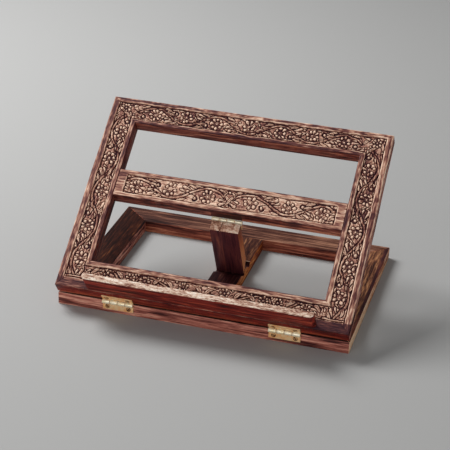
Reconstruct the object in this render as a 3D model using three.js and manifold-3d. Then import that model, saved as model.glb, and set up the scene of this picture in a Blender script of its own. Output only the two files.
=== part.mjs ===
// Folding tabletop book stand of carved hardwood with brass butt hinges.
// A flat base frame, an easel frame hinged to its front edge, and a short prop
// hinged under the easel's middle rail, whose foot drops into a notch of the base.
// Millimetres. X runs across the stand, +Y to its back and +Z up.
// The origin is the middle of the base's underside, which lies on the table.
import * as THREE from 'three';
import { mergeVertices } from 'three/addons/utils/BufferGeometryUtils.js';
import Module from 'manifold-3d';

const degree = Math.PI / 180;

// Both frames
const width = 300;
const jointGap = 0.3;
const cutOver = 1;
const tenonLength = 6;
const tenonThickness = 4.5;
const tenonShoulder = 3;
const splineThickness = 2.6;
const splineAcross = 11;
const splineMargin = 6;

// Base frame
const baseDepth = 218;
const baseThickness = 12.8;
const baseRailWidth = 30.5;
const centreRailWidth = 30.5;

// Easel frame, measured along its own face from its front edge
const easelDepth = 225;
const easelThickness = 15;
const easelTilt = 37.4 * degree;
const stileWidth = 30;
const topRailWidth = 28.5;
const lowerRailWidth = 32;
const midRailWidth = 31;
const midRailSet = 109;
const closedGap = 0.4;

// Sunk ground of the carving and the plain borders that are left round it
const carvingDepth = 1.6;
const outerBorder = 8;
const frontBorder = 11;
const innerBorder = 5;
const midRailBorder = 5.5;
const midRailEndBorder = 9;

// Book lip, an upright strip glued into a groove along the easel's front edge
const lipLength = 234;
const lipThickness = 6.5;
const lipHeight = 25;
const lipChamfer = 2.5;
const tongueThickness = 2.5;
const tongueDepth = 3.5;
const tongueInset = 6;

// Prop and the saw-tooth notches of the centre rail
const propWidth = 30;
const propThickness = 12;
const propLean = 61.3 * degree;
const footCut = 45 * degree;
const notchDepth = 4.3;
const notchFloor = 3;
const notchRamp = 25 * degree;
const notchPitch = 21.5;
const notchCount = 2;

// Butt hinges, all of one pattern
const hingeWidth = 32;
const hingeSpread = 171.4;
const knuckleCount = 4;
const knuckleGap = 0.3;
const barrelRadius = 2.2;
const barrelStandoff = 0.1;
const pinRadius = 0.9;
const pinClearance = 0.3;
const leafThickness = 1.1;
const leafReach = 9;
const propHingeLetIn = 1.1;
const propHingeAhead = 1;
const barrelSides = 24;

// Countersunk screws with a straight slot
const screwInset = 5;
const screwReach = 5.7;
const headRadius = 2;
const headRim = 0.15;
const shankRadius = 0.9;
const screwLength = 8.5;
const slotWidth = 0.6;
const slotDepth = 0.6;
const screwClearance = 0.25;
const screwSides = 16;

// Places worked out from the sizes above
const axisOut = jointGap + barrelRadius + barrelStandoff;
const screwSpacing = hingeWidth - 2 * screwInset;
const halfWidth = width / 2;
const baseFront = -baseDepth / 2;
const baseBack = baseDepth / 2;
const hingeAxisY = baseFront - axisOut;
const hingeAxisZ = baseThickness + closedGap / 2;
const easelFront = axisOut;
const easelBack = axisOut + easelDepth;
const easelUnder = closedGap / 2;
const easelTop = easelUnder + easelThickness;
const midRailFront = easelFront + midRailSet;
const propAxisY = midRailFront - propHingeAhead;
const propFaceOut = axisOut - propHingeLetIn;
const propAxisZ = easelUnder - propFaceOut;

const wasm = await Module();
wasm.setup();

// Closed three.js geometry as a solid that can be joined and cut
function solid(geometry) {
  const bare = geometry.index ? geometry.toNonIndexed() : geometry.clone();
  bare.deleteAttribute('normal');
  bare.deleteAttribute('uv');
  const merged = mergeVertices(bare, 1e-4);
  const mesh = new wasm.Mesh({
    numProp: 3,
    vertProperties: new Float32Array(merged.attributes.position.array),
    triVerts: new Uint32Array(merged.index.array),
  });
  return new wasm.Manifold(mesh);
}

function place(body, matrix) {
  return body.transform(matrix.elements);
}

function block(lowX, highX, lowY, highY, lowZ, highZ) {
  const box = new THREE.BoxGeometry(highX - lowX, highY - lowY, highZ - lowZ);
  box.translate((lowX + highX) / 2, (lowY + highY) / 2, (lowZ + highZ) / 2);
  return solid(box);
}

// Outline in X and Y, raised between two heights
function slab(outline, lowZ, highZ) {
  const shape = new THREE.Shape(outline.map(([x, y]) => new THREE.Vector2(x, y)));
  const geometry = new THREE.ExtrudeGeometry(shape, { depth: highZ - lowZ, bevelEnabled: false });
  geometry.translate(0, 0, lowZ);
  return solid(geometry);
}

// Side outline in Y and Z, carried across the stand between two X values
function acrossProfile(outline, lowX, highX) {
  const shape = new THREE.Shape(outline.map(([y, z]) => new THREE.Vector2(y, z)));
  const geometry = new THREE.ExtrudeGeometry(shape, { depth: highX - lowX, bevelEnabled: false });
  const turn = new THREE.Matrix4().makeBasis(
    new THREE.Vector3(0, 1, 0), new THREE.Vector3(0, 0, 1), new THREE.Vector3(1, 0, 0));
  geometry.applyMatrix4(turn);
  geometry.translate(lowX, 0, 0);
  return solid(geometry);
}

// Round rod along X
function rodX(radius, lowX, highX, sides) {
  const rod = new THREE.CylinderGeometry(radius, radius, highX - lowX, sides);
  rod.rotateZ(Math.PI / 2);
  rod.translate((lowX + highX) / 2, 0, 0);
  return solid(rod);
}

// Bar lying along a mitre, from the frame's outer corner towards the inner one
function mitreBar(corner, length, across, lowZ, highZ) {
  const [outer, inner] = corner;
  const bar = block(-length / 2, length / 2, -across / 2, across / 2, lowZ, highZ);
  const turn = new THREE.Matrix4().makeRotationZ(Math.atan2(inner[1] - outer[1], inner[0] - outer[0]));
  turn.setPosition((outer[0] + inner[0]) / 2, (outer[1] + inner[1]) / 2, 0);
  return place(bar, turn);
}

function mitreLength([outer, inner]) {
  return Math.hypot(inner[0] - outer[0], inner[1] - outer[1]);
}

// The four corners of a frame, each as its outer and its inner point
function frameCorners(front, back, sideWidth, frontWidth, backWidth) {
  const innerX = halfWidth - sideWidth;
  return {
    front_left: [[-halfWidth, front], [-innerX, front + frontWidth]],
    front_right: [[halfWidth, front], [innerX, front + frontWidth]],
    back_right: [[halfWidth, back], [innerX, back - backWidth]],
    back_left: [[-halfWidth, back], [-innerX, back - backWidth]],
  };
}

// One rail between two mitred corners, sawn clear of its neighbours and slotted for the splines
function mitredRail(start, end, lowZ, highZ) {
  let rail = slab([start[0], end[0], end[1], start[1]], lowZ, highZ);
  const middleZ = (lowZ + highZ) / 2;
  const slotHalf = splineThickness / 2 + jointGap;
  for (const corner of [start, end]) {
    const reach = mitreLength(corner);
    rail = rail.subtract(mitreBar(corner, reach * 2, jointGap, lowZ - cutOver, highZ + cutOver));
    const slotLength = reach - 2 * splineMargin + 2 * jointGap;
    rail = rail.subtract(mitreBar(
      corner, slotLength, splineAcross + 2 * jointGap, middleZ - slotHalf, middleZ + slotHalf));
  }
  return rail;
}

function mitreSpline(corner, middleZ) {
  return mitreBar(corner, mitreLength(corner) - 2 * splineMargin, splineAcross,
    middleZ - splineThickness / 2, middleZ + splineThickness / 2);
}

// Stub tenon on each end of a rail; the mortise is the same block grown by the clearance
function tenonBlock(alongX, low, high, centre, railWidth, middleZ, grow) {
  const half = railWidth / 2 - tenonShoulder + grow;
  const thick = tenonThickness / 2 + grow;
  if (alongX) {
    return block(low - grow, high + grow, centre - half, centre + half, middleZ - thick, middleZ + thick);
  }
  return block(centre - half, centre + half, low - grow, high + grow, middleZ - thick, middleZ + thick);
}

// One hinge leaf in its own frame: the pin's axis is X, the wood lies beyond y = axisOut,
// and the plate hangs down from the barrel. Both leaves of a hinge are this one part.
const plateBack = axisOut - jointGap;
const plateFace = plateBack - leafThickness;
const knuckleLength = hingeWidth / knuckleCount;

function hingeLeaf() {
  const half = hingeWidth / 2;
  const plateTop = -(barrelRadius + pinClearance + barrelStandoff);
  let leaf = block(-half, half, plateFace, plateBack, -leafReach, plateTop);
  for (let knuckle = 0; knuckle < knuckleCount; knuckle += 2) {
    const low = -half + knuckle * knuckleLength + (knuckle > 0 ? knuckleGap / 2 : 0);
    const high = -half + (knuckle + 1) * knuckleLength - knuckleGap / 2;
    leaf = leaf.add(block(low, high, plateFace, plateBack, -leafReach, 0));
    leaf = leaf.add(rodX(barrelRadius, low, high, barrelSides));
  }
  leaf = leaf.subtract(rodX(pinRadius + pinClearance, -half - cutOver, half + cutOver, barrelSides));
  for (const side of [-1, 1]) {
    leaf = leaf.subtract(place(countersink(screwClearance), screwPlace(side)));
  }
  return leaf;
}

function hingePin() {
  return rodX(pinRadius, -hingeWidth / 2, hingeWidth / 2, screwSides);
}

// Screw along +Y from its head's face at y = 0
function screwProfile(grow, length) {
  const coneDepth = leafThickness;
  return [
    [0, -grow], [headRadius + grow, -grow], [headRadius + grow, headRim],
    [shankRadius + grow, coneDepth], [shankRadius + grow, length - shankRadius], [0, length],
  ];
}

function turnedY(points, sides) {
  const profile = points.map(([radius, y]) => new THREE.Vector2(radius, y));
  return solid(new THREE.LatheGeometry(profile, sides));
}

function countersink(grow) {
  return turnedY(screwProfile(grow, screwLength + grow), screwSides);
}

function screw() {
  const body = turnedY(screwProfile(0, screwLength), screwSides);
  const reach = headRadius + cutOver;
  const slot = block(-reach, reach, -cutOver, slotDepth, -slotWidth / 2, slotWidth / 2);
  return body.subtract(slot);
}

function screwPlace(side) {
  return new THREE.Matrix4().makeTranslation(side * screwSpacing / 2, plateFace, -screwReach);
}

// What a leaf needs in the wood behind it: two pilot holes and, where it is let in, a housing
function leafHousing(letIn) {
  let cut = null;
  for (const side of [-1, 1]) {
    const hole = place(countersink(screwClearance), screwPlace(side));
    cut = cut ? cut.add(hole) : hole;
  }
  if (letIn > 0) {
    const half = hingeWidth / 2 + jointGap;
    const face = axisOut - letIn - cutOver;
    cut = cut.add(block(-half, half, face, axisOut, -leafReach - jointGap, barrelRadius + propHingeAhead));
  }
  return cut;
}

// Where the six leaves lie, in the frame of the piece that carries them
const hingeSides = { left: -hingeSpread / 2, right: hingeSpread / 2 };

function lowerLeafPlace(x) {
  return new THREE.Matrix4().makeTranslation(x, hingeAxisY, hingeAxisZ);
}

function upperLeafPlace(x) {
  return new THREE.Matrix4().makeRotationY(Math.PI).setPosition(x, 0, 0);
}

const fixedLeafPlace = new THREE.Matrix4().makeRotationX(Math.PI / 2).setPosition(0, propAxisY, propAxisZ);
const movingLeafPlace = new THREE.Matrix4().makeRotationZ(Math.PI);

// Prop, in a frame with the pin's axis at its origin and the wood hanging down from it.
// Its length is what reaches from the open easel to the floor of the first notch.
const pivotDrop = propAxisY * Math.sin(easelTilt) + propAxisZ * Math.cos(easelTilt);
const pivotAhead = propAxisY * Math.cos(easelTilt) - propAxisZ * Math.sin(easelTilt);
const pivotHeight = hingeAxisZ + pivotDrop;
const notchFloorZ = baseThickness - notchDepth;
const propFaceFar = propFaceOut + propThickness;
const toeDrop = pivotHeight - notchFloorZ - jointGap;
const propReach = (toeDrop - propFaceFar * Math.cos(propLean)) / Math.sin(propLean);
const toeY = hingeAxisY + pivotAhead + propReach * Math.cos(propLean) - propFaceFar * Math.sin(propLean);

function prop() {
  const outline = [
    [-propFaceOut, -propHingeAhead],
    [-propFaceFar, -propHingeAhead],
    [-propFaceFar, -propReach],
    [-propFaceOut, -propReach + propThickness / Math.tan(footCut)],
  ];
  const bar = acrossProfile(outline, -propWidth / 2, propWidth / 2);
  return bar.subtract(place(leafHousing(propHingeLetIn), movingLeafPlace));
}

// Saw-tooth notches: the back wall leans as the foot's cut end does, the front is a ramp
const stopLean = Math.PI - propLean - footCut;

function notches() {
  const topRise = notchDepth + cutOver;
  const stopFoot = toeY + jointGap / Math.sin(stopLean);
  let cut = null;
  for (let index = 0; index < notchCount; index += 1) {
    const stopY = stopFoot + index * notchPitch;
    const rampY = stopY - notchFloor;
    const outline = [
      [stopY, notchFloorZ],
      [stopY + topRise / Math.tan(stopLean), baseThickness + cutOver],
      [rampY - topRise / Math.tan(notchRamp), baseThickness + cutOver],
      [rampY, notchFloorZ],
    ];
    const tooth = acrossProfile(outline, -halfWidth, halfWidth);
    cut = cut ? cut.add(tooth) : tooth;
  }
  return cut;
}

// Ground of the carving: one ring round the easel frame and a panel along its middle rail
const openingLeft = -halfWidth + stileWidth;
const lowerOpening = easelFront + lowerRailWidth;
const upperOpening = easelBack - topRailWidth;

function carvedRing() {
  const lowZ = easelTop - carvingDepth;
  const highZ = easelTop + cutOver;
  const edge = halfWidth - outerBorder;
  const inner = -openingLeft + innerBorder;
  const ring = block(-edge, edge, easelFront + frontBorder, easelBack - outerBorder, lowZ, highZ);
  return ring.subtract(block(
    -inner, inner, lowerOpening - innerBorder, upperOpening + innerBorder,
    lowZ - cutOver, highZ + cutOver));
}

function carvedMidPanel() {
  const half = -openingLeft - midRailEndBorder;
  return block(-half, half, midRailFront + midRailBorder, midRailFront + midRailWidth - midRailBorder,
    easelTop - carvingDepth, easelTop + cutOver);
}

// Lip: an upright strip with eased front corners and a tongue below it
const lipY = easelFront;

function lipTongue(grow) {
  const half = lipLength / 2 - tongueInset + grow;
  const middle = lipY + lipThickness / 2;
  const thick = tongueThickness / 2 + grow;
  const rootZ = easelTop - tongueDepth - grow;
  return block(-half, half, middle - thick, middle + thick, rootZ, easelTop + cutOver);
}

function bookLip() {
  const half = lipLength / 2;
  const outline = [
    [-half + lipChamfer, lipY], [half - lipChamfer, lipY], [half, lipY + lipChamfer],
    [half, lipY + lipThickness], [-half, lipY + lipThickness], [-half, lipY + lipChamfer],
  ];
  return slab(outline, easelTop + jointGap, easelTop + lipHeight).add(lipTongue(0));
}

// Materials
const bareWood = new THREE.MeshStandardMaterial({ color: 0x7a4a2c, roughness: 0.6, metalness: 0 });
const redWood = new THREE.MeshStandardMaterial({ color: 0x6a2f1c, roughness: 0.55, metalness: 0 });
const carvedWood = new THREE.MeshStandardMaterial({ color: 0xa47a5c, roughness: 0.7, metalness: 0 });
const innerWood = new THREE.MeshStandardMaterial({ color: 0xc09a6a, roughness: 0.8, metalness: 0 });
const brass = new THREE.MeshStandardMaterial({ color: 0xd9b56a, roughness: 0.3, metalness: 1 });
const screwBrass = new THREE.MeshStandardMaterial({ color: 0xb08a4c, roughness: 0.35, metalness: 1 });

function mesh(name, body, material) {
  const { vertProperties, triVerts } = body.getMesh();
  const geometry = new THREE.BufferGeometry();
  geometry.setAttribute('position', new THREE.BufferAttribute(new Float32Array(vertProperties), 3));
  geometry.setIndex(new THREE.BufferAttribute(new Uint32Array(triVerts), 1));
  const item = new THREE.Mesh(geometry, material);
  item.name = name;
  return item;
}

// One leaf with its two screws, all set by the leaf's place
function addLeaf(group, name, matrix) {
  const leaf = mesh(`${name}_leaf`, hingeLeaf(), brass);
  leaf.applyMatrix4(matrix);
  group.add(leaf);
  for (const [side, word] of [[-1, 'a'], [1, 'b']]) {
    const item = mesh(`${name}_screw_${word}`, screw(), screwBrass);
    item.applyMatrix4(new THREE.Matrix4().multiplyMatrices(matrix, screwPlace(side)));
    group.add(item);
  }
}

function addPin(group, name, matrix) {
  const pin = mesh(name, hingePin(), screwBrass);
  pin.applyMatrix4(matrix);
  group.add(pin);
}

function addSplines(group, name, corners, middleZ) {
  for (const [where, corner] of Object.entries(corners)) {
    group.add(mesh(`${name}_spline_${where}`, mitreSpline(corner, middleZ), innerWood));
  }
}

function baseFrame() {
  const group = new THREE.Group();
  const corners = frameCorners(baseFront, baseBack, baseRailWidth, baseRailWidth, baseRailWidth);
  const middleZ = baseThickness / 2;
  const railFront = baseFront + baseRailWidth;
  const railBack = baseBack - baseRailWidth;
  const tenons = [
    [railFront - tenonLength, railFront + cutOver],
    [railBack - cutOver, railBack + tenonLength],
  ];
  let front = mitredRail(corners.front_left, corners.front_right, 0, baseThickness);
  let back = mitredRail(corners.back_right, corners.back_left, 0, baseThickness);
  let centre = block(-centreRailWidth / 2, centreRailWidth / 2,
    railFront + jointGap, railBack - jointGap, 0, baseThickness);
  centre = centre.subtract(notches());
  for (const [low, high] of tenons) {
    const mortise = tenonBlock(false, low, high, 0, centreRailWidth, middleZ, jointGap);
    front = front.subtract(mortise);
    back = back.subtract(mortise);
    centre = centre.add(tenonBlock(false, low, high, 0, centreRailWidth, middleZ, 0));
  }
  for (const x of Object.values(hingeSides)) {
    front = front.subtract(place(leafHousing(0), lowerLeafPlace(x)));
  }
  const right = mitredRail(corners.front_right, corners.back_right, 0, baseThickness);
  const left = mitredRail(corners.back_left, corners.front_left, 0, baseThickness);
  group.add(mesh('front_rail', front, bareWood));
  group.add(mesh('right_rail', right, bareWood));
  group.add(mesh('back_rail', back, bareWood));
  group.add(mesh('left_rail', left, bareWood));
  group.add(mesh('centre_rail', centre, bareWood));
  addSplines(group, 'base', corners, middleZ);
  for (const [side, x] of Object.entries(hingeSides)) {
    addLeaf(group, `${side}_hinge_lower`, lowerLeafPlace(x));
    addPin(group, `${side}_hinge_pin`, lowerLeafPlace(x));
  }
  return group;
}

function easelFrame() {
  const group = new THREE.Group();
  group.position.set(0, hingeAxisY, hingeAxisZ);
  group.rotation.x = easelTilt;
  const corners = frameCorners(easelFront, easelBack, stileWidth, lowerRailWidth, topRailWidth);
  const middleZ = (easelUnder + easelTop) / 2;
  const midCentre = midRailFront + midRailWidth / 2;
  const ring = carvedRing();
  let lower = mitredRail(corners.front_left, corners.front_right, easelUnder, easelTop);
  let right = mitredRail(corners.front_right, corners.back_right, easelUnder, easelTop);
  const top = mitredRail(corners.back_right, corners.back_left, easelUnder, easelTop);
  let left = mitredRail(corners.back_left, corners.front_left, easelUnder, easelTop);
  let mid = block(openingLeft + jointGap, -openingLeft - jointGap,
    midRailFront, midRailFront + midRailWidth, easelUnder, easelTop);
  const tenons = [
    [openingLeft - tenonLength, openingLeft + cutOver],
    [-openingLeft - cutOver, -openingLeft + tenonLength],
  ];
  for (const [low, high] of tenons) {
    const mortise = tenonBlock(true, low, high, midCentre, midRailWidth, middleZ, jointGap);
    left = left.subtract(mortise);
    right = right.subtract(mortise);
    mid = mid.add(tenonBlock(true, low, high, midCentre, midRailWidth, middleZ, 0));
  }
  mid = mid.subtract(carvedMidPanel()).subtract(place(leafHousing(propHingeLetIn), fixedLeafPlace));
  lower = lower.subtract(lipTongue(jointGap));
  for (const x of Object.values(hingeSides)) {
    lower = lower.subtract(place(leafHousing(0), upperLeafPlace(x)));
  }
  group.add(mesh('lower_rail', lower.subtract(ring), carvedWood));
  group.add(mesh('right_stile', right.subtract(ring), carvedWood));
  group.add(mesh('top_rail', top.subtract(ring), carvedWood));
  group.add(mesh('left_stile', left.subtract(ring), carvedWood));
  group.add(mesh('mid_rail', mid, carvedWood));
  group.add(mesh('book_lip', bookLip(), redWood));
  addSplines(group, 'easel', corners, middleZ);
  for (const [side, x] of Object.entries(hingeSides)) {
    addLeaf(group, `${side}_hinge_upper`, upperLeafPlace(x));
  }
  addLeaf(group, 'prop_hinge_fixed', fixedLeafPlace);
  addPin(group, 'prop_hinge_pin', fixedLeafPlace);
  group.add(propAssembly());
  return group;
}

// Turned so that, with the easel open, the prop leans back to its notch
function propAssembly() {
  const group = new THREE.Group();
  group.position.set(0, propAxisY, propAxisZ);
  group.rotation.x = Math.PI / 2 - propLean - easelTilt;
  group.add(mesh('prop', prop(), redWood));
  addLeaf(group, 'prop_hinge_moving', movingLeafPlace);
  return group;
}

const stand = new THREE.Group();
stand.add(baseFrame());
stand.add(easelFrame());

export default stand;
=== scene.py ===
import math
import bmesh
import bpy
import numpy as np
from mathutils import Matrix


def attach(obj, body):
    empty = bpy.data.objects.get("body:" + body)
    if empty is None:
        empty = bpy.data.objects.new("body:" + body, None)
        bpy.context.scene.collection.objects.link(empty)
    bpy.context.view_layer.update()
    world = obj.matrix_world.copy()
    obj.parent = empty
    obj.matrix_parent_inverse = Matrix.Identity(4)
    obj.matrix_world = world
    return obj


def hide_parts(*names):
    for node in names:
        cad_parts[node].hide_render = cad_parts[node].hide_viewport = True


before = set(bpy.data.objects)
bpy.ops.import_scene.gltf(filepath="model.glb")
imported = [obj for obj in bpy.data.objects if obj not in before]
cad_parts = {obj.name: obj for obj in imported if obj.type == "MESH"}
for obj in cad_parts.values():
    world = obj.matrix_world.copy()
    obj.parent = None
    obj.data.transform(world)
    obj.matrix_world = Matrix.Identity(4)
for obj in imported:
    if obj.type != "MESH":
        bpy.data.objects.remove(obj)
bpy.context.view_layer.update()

# The setting: a plain pale floor, a soft key lamp high at the back left, two weak lamps
# in front, one of which the brass throws back, and an even sky. The camera stands in
# front of the stand and a little to its right, and looks down on it.
FLOOR_WIDTH = 14
FLOOR_GREY = (0.38, 0.38, 0.375, 1)

bpy.ops.object.select_all(action="DESELECT")
bpy.ops.object.camera_add(
    location=(0.35048, -1.37248, 0.74529),
    rotation=(1.12177097, -0.04081739, 0.2751054))
camera = bpy.context.object
camera.data.sensor_width = 36
camera.data.lens = 121.583
bpy.context.scene.camera = camera

bpy.ops.mesh.primitive_plane_add(size=FLOOR_WIDTH)
floor = bpy.context.object
floor.name = "floor"
floor_paint = bpy.data.materials.new("floor_paint")
floor_paint.use_nodes = True
floor_shader = floor_paint.node_tree.nodes["Principled BSDF"]
floor_shader.inputs["Base Color"].default_value = FLOOR_GREY
floor_shader.inputs["Roughness"].default_value = 0.9
floor.data.materials.append(floor_paint)


def soft_lamp(name, place, aim, size, watts):
    bpy.ops.object.light_add(type="AREA", location=place)
    lamp = bpy.context.object
    lamp.name = name
    lamp.data.size = size
    lamp.data.energy = watts
    reach = [a - p for a, p in zip(aim, place)]
    flat = math.hypot(reach[0], reach[1])
    lamp.rotation_euler = (
        math.atan2(flat, -reach[2]), 0, math.atan2(reach[1], reach[0]) - math.pi / 2)


soft_lamp("key_lamp", (-1.12, 0.47, 1.34), (0, 0, 0.08), 0.9, 36)
soft_lamp("fill_lamp", (0.25, -1.65, 0.6), (0, 0, 0.05), 1.2, 6.2)
soft_lamp("brass_lamp", (-0.42, -1.64, 0.57), (0, -0.1, 0.04), 0.5, 3.4)

sky = bpy.data.worlds.new("sky")
sky.use_nodes = True
sky.node_tree.nodes["Background"].inputs["Color"].default_value = (1, 1, 1, 1)
sky.node_tree.nodes["Background"].inputs["Strength"].default_value = 0.25
bpy.context.scene.world = sky
bpy.context.scene.view_settings.view_transform = "Standard"


# The base frame: four flat hardwood rails, mitred at the corners in hairline joints. The
# grain runs lengthwise, the planed tops are stained dark, and the sides of the front and
# right rails and the top of the back rail have bleached unevenly.
MM = 0.001
BASE_WIDTH = 300 * MM
BASE_DEPTH = 218 * MM
BASE_HEIGHT = 12.8 * MM
BASE_RAIL = 30.5 * MM
HAIRLINE = 0.07 * MM
half_wide = BASE_WIDTH / 2
half_deep = BASE_DEPTH / 2
DARK_STREAK = half_wide - 3.4 * MM


def choose(piece):
    bpy.ops.object.select_all(action="DESELECT")
    piece.select_set(True)
    bpy.context.view_layer.objects.active = piece


def set_in_place(piece):
    choose(piece)
    bpy.ops.object.transform_apply(location=True, rotation=True, scale=True)


def block(name, low, high):
    bpy.ops.object.select_all(action="DESELECT")
    middle = [(a + b) / 2 for a, b in zip(low, high)]
    bpy.ops.mesh.primitive_cube_add(size=1, location=middle)
    piece = bpy.context.object
    piece.name = name
    piece.scale = [b - a for a, b in zip(low, high)]
    set_in_place(piece)
    return piece


def saw(piece, cuts, through=True):
    """Saws a piece along planes, each given as a point and the side that falls off.

    A cut that doesn't go through only marks the piece, and nothing falls off.
    """
    choose(piece)
    bpy.ops.object.mode_set(mode="EDIT")
    for point, away in cuts:
        bpy.ops.mesh.select_all(action="SELECT")
        bpy.ops.mesh.bisect(
            plane_co=point, plane_no=away, use_fill=through, clear_outer=through)
    bpy.ops.object.mode_set(mode="OBJECT")


def ease_edges(piece, radius, angle=40, segments=2):
    choose(piece)
    ease = piece.modifiers.new("eased", "BEVEL")
    ease.width = radius
    ease.segments = segments
    ease.limit_method = "ANGLE"
    ease.angle_limit = math.radians(angle)
    bpy.ops.object.modifier_apply(modifier=ease.name)
    bpy.ops.object.shade_smooth_by_angle(angle=math.radians(35))


def new_finish(name):
    """Starts a material, and gives its nodes, its shader and the piece's own places."""
    material = bpy.data.materials.new(name)
    material.use_nodes = True
    tree = material.node_tree
    position = tree.nodes.new("ShaderNodeTexCoord").outputs["Object"]
    return material, tree, tree.nodes["Principled BSDF"], position


def noise_at(tree, place, scale, detail, distortion=0.0):
    noise = tree.nodes.new("ShaderNodeTexNoise")
    noise.inputs["Scale"].default_value = scale
    noise.inputs["Detail"].default_value = detail
    noise.inputs["Distortion"].default_value = distortion
    tree.links.new(place, noise.inputs["Vector"])
    return noise.outputs[0]


def ranged(tree, value, low, high, to_low, to_high):
    change = tree.nodes.new("ShaderNodeMapRange")
    change.inputs["From Min"].default_value = low
    change.inputs["From Max"].default_value = high
    change.inputs["To Min"].default_value = to_low
    change.inputs["To Max"].default_value = to_high
    tree.links.new(value, change.inputs["Value"])
    return change.outputs["Result"]


def toned(tree, value, tones):
    """Colours a value by its tones, each a spot from 0 to 1 and a colour of 255 steps."""
    ramp = tree.nodes.new("ShaderNodeValToRGB")
    while len(ramp.color_ramp.elements) < len(tones):
        ramp.color_ramp.elements.new(0.5)
    for element, (spot, colour) in zip(ramp.color_ramp.elements, tones):
        element.position = spot
        element.color = tuple(pow(part / 255, 2.2) for part in colour) + (1,)
    tree.links.new(value, ramp.inputs["Fac"])
    return ramp.outputs["Color"]


def stand_out(tree, shader, height, strength, depth):
    bump = tree.nodes.new("ShaderNodeBump")
    bump.inputs["Strength"].default_value = strength
    bump.inputs["Distance"].default_value = depth
    tree.links.new(height, bump.inputs["Height"])
    tree.links.new(bump.outputs["Normal"], shader.inputs["Normal"])


PORE_BAND = (0.56, 0.68)
PORE_DARK = (0.22, 0.14, 0.12, 1)
PORE_DEPTH = 0.4 * MM


def wood_finish(name, tones, along, broad, fine, pores=(6, 0.5), origin=(0, 0, 0), turn=(0, 0, 0),
                roughness=0.55, relief=0.12, streaks=0.55, spread=0.15, shifted_by=None, sway=0.5,
                pore_tone=0.45, waver=0.9, gloss=0.22):
    """Wood with broad streaks, fine growth lines and short open pores.

    Each of these has its length and width in mm, and along is the axis that the grain
    follows. The origin and the turn set the board's own frame.
    """
    material, tree, shader, position = new_finish(name)

    def grain_noise(size, detail, distortion):
        cell = [size[1] * MM] * 3
        cell[along] = size[0] * MM
        stretch = tree.nodes.new("ShaderNodeMapping")
        stretch.vector_type = "TEXTURE"
        stretch.inputs["Location"].default_value = origin
        stretch.inputs["Rotation"].default_value = turn
        stretch.inputs["Scale"].default_value = cell
        tree.links.new(position, stretch.inputs["Vector"])
        return noise_at(tree, stretch.outputs["Vector"], 1, detail, distortion)

    def mixed(first, second, share):
        mix = tree.nodes.new("ShaderNodeMix")
        mix.inputs["Factor"].default_value = share
        tree.links.new(first, mix.inputs["A"])
        tree.links.new(second, mix.inputs["B"])
        return mix.outputs["Result"]

    streaked = grain_noise(broad, 4, waver)
    lined = grain_noise(fine, 3, 0.35)
    pitted = ranged(tree, grain_noise(pores, 2, 0.0), *PORE_BAND, 0, 1)
    tone = ranged(tree, mixed(lined, streaked, streaks), 0.5 - spread, 0.5 + spread, 0, 1)
    if shifted_by:
        shift_node = tree.nodes.new("ShaderNodeAttribute")
        shift_node.attribute_name = shifted_by
        total = tree.nodes.new("ShaderNodeMath")
        tree.links.new(ranged(tree, tone, 0, 1, -sway / 2, sway / 2), total.inputs[0])
        tree.links.new(shift_node.outputs["Fac"], total.inputs[1])
        tone = total.outputs["Value"]
    darken = tree.nodes.new("ShaderNodeMix")
    darken.data_type = "RGBA"
    darken.blend_type = "MULTIPLY"
    tree.links.new(ranged(tree, pitted, 0, 1, 0, 1 - pore_tone), darken.inputs["Factor"])
    tree.links.new(toned(tree, tone, tones), darken.inputs[6])
    darken.inputs[7].default_value = PORE_DARK
    tree.links.new(darken.outputs[2], shader.inputs["Base Color"])
    tree.links.new(ranged(tree, streaked, 0.3, 0.7, roughness + 0.07, roughness - 0.07),
                   shader.inputs["Roughness"])
    shader.inputs["Specular IOR Level"].default_value = gloss
    stand_out(tree, shader, ranged(tree, mixed(lined, pitted, 0.7), 0, 1, 1, 0), relief, PORE_DEPTH)
    return material


SIDE_GRAIN = [(0.0, (62, 28, 28)), (0.3, (136, 76, 66)), (0.6, (188, 116, 100)), (1.0, (232, 172, 148))]
PLANKS = {
    # The front rail's top has darker tones as painted shade for the gap under the easel's front edge.
    "front_rail": [
        (0.0, (30, 14, 14)), (0.4, (60, 34, 30)), (0.7, (88, 54, 44)), (1.0, (128, 86, 66))],
    "right_rail": [
        (0.0, (40, 22, 20)), (0.35, (82, 50, 38)), (0.65, (118, 76, 54)), (1.0, (164, 116, 80))],
    "back_rail": [
        (0.0, (30, 14, 14)), (0.35, (70, 42, 36)), (0.65, (104, 68, 56)), (1.0, (158, 114, 92))],
    "left_rail": [
        (0.0, (16, 6, 8)), (0.4, (40, 18, 14)), (0.75, (66, 33, 22)), (1.0, (112, 68, 42))],
    "centre_rail": [
        (0.0, (26, 12, 14)), (0.35, (60, 34, 30)), (0.65, (90, 54, 42)), (1.0, (150, 104, 72))]}
SAWN_SIDES = {
    "right_rail": [
        (0.0, (104, 44, 22)), (0.3, (190, 106, 62)), (0.6, (238, 170, 124)), (1.0, (255, 214, 176))],
    "back_rail": [
        (0.0, (60, 24, 20)), (0.3, (116, 58, 46)), (0.6, (154, 82, 64)), (1.0, (204, 130, 100))],
    "centre_rail": [
        (0.0, (112, 46, 20)), (0.4, (170, 82, 34)), (0.7, (206, 116, 52)), (1.0, (232, 156, 84))]}
STREAK_TONES = [(0.0, (30, 14, 18)), (0.5, (64, 32, 34)), (1.0, (116, 66, 50))]
FACING = 0.6


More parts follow.
